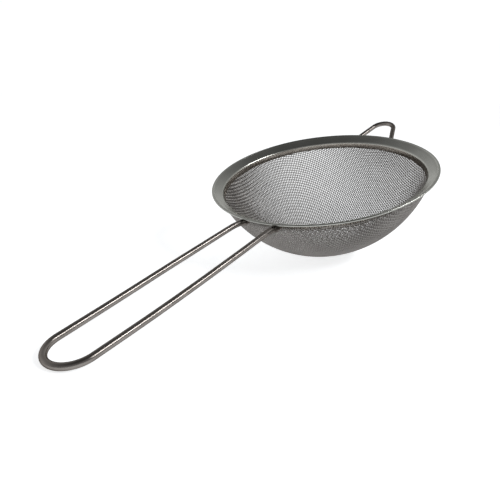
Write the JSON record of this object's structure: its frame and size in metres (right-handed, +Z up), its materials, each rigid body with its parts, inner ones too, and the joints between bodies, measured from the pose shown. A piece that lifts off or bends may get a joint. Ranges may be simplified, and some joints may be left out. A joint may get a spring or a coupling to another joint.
{
  "type": "tea strainer",
  "caption": "Round tea strainer: a woven steel wire bowl in a dished ring, with a long U-shaped wire handle and a small wire rest loop opposite.",
  "frame": {"origin": "middle of the strainer's footprint, on the surface that it lies on, resting on the bottom of its bowl and the end of its handle", "axes": "+X from the handle's end towards the rest loop, +Z up from the surface, +Y to the left of the handle as seen from its end"},
  "size_m": [0.2188, 0.11, 0.0623],
  "materials": {
    "rim_steel": "stamped stainless sheet, satin, with fine turned brush marks",
    "cloth_steel": "woven drawn stainless wire, bright",
    "wire_steel": "polished stainless wire",
    "weld_steel": "heat-darkened weld metal"
  },
  "bodies": {
    "root": {"rim": "rim_steel", "mesh_bowl": "cloth_steel", "handle": "wire_steel", "rest_loop": "wire_steel", "weld_handle_left": "weld_steel", "weld_handle_right": "weld_steel", "weld_loop_left": "weld_steel", "weld_loop_right": "weld_steel"}
  },
  "joints": []
}
